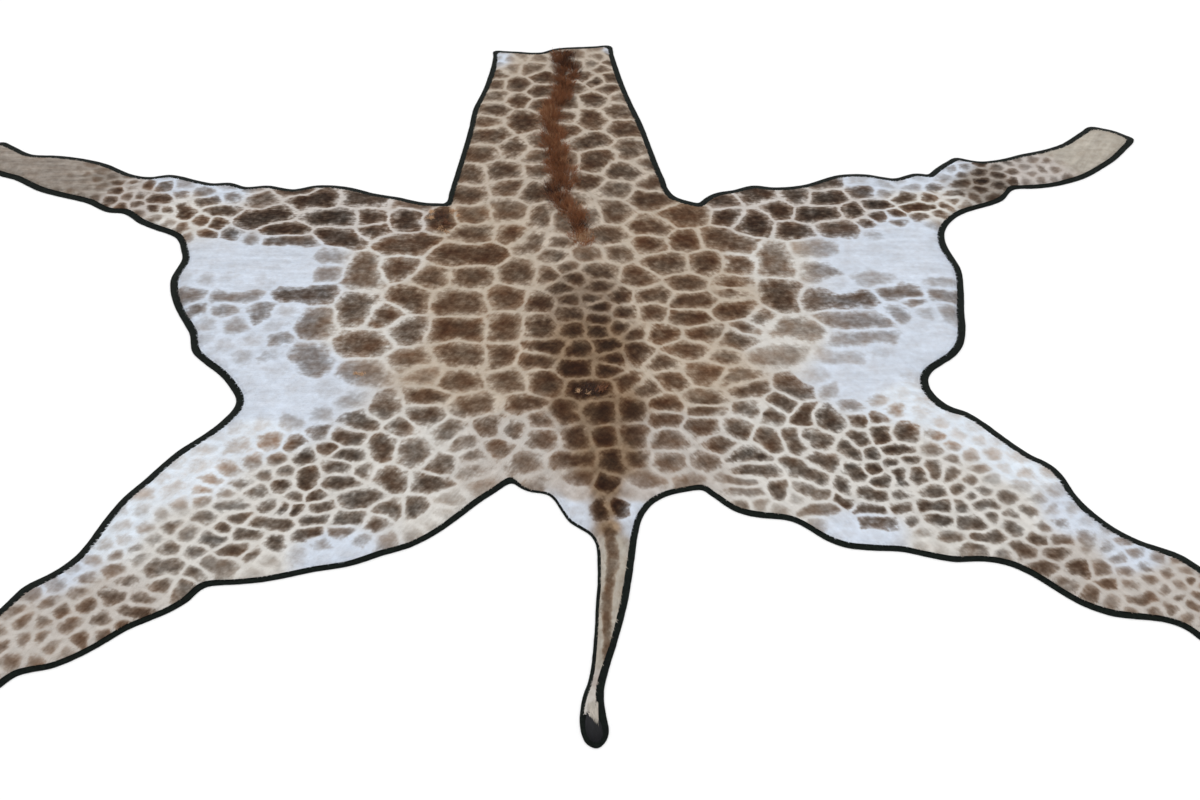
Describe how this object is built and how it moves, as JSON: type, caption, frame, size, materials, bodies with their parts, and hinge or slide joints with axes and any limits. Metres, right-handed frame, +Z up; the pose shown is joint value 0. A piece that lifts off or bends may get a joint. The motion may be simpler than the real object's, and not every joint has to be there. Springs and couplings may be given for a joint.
{
  "type": "giraffe skin rug",
  "caption": "Flat giraffe skin rug with neck, outspread legs, standing mane and tufted tail, on a dark felt backing that shows as a narrow rim.",
  "frame": {"origin": "on the felt's underside, at floor level, where the spine crosses the waist in front of the hind legs", "axes": "+Z up from the floor, +Y towards the neck, +X to the right seen from the tail"},
  "size_m": [3.69, 3.237, 0.0543],
  "materials": {
    "felt": "matt wool felt",
    "coat": "tanned skin with a short flat coat",
    "mane_hair": "stiff short hair",
    "tail_hair": "coarse hair"
  },
  "bodies": {
    "root": {"felt_backing": "felt", "hide": "coat", "mane": "mane_hair", "tail_tuft": "tail_hair"}
  },
  "joints": []
}
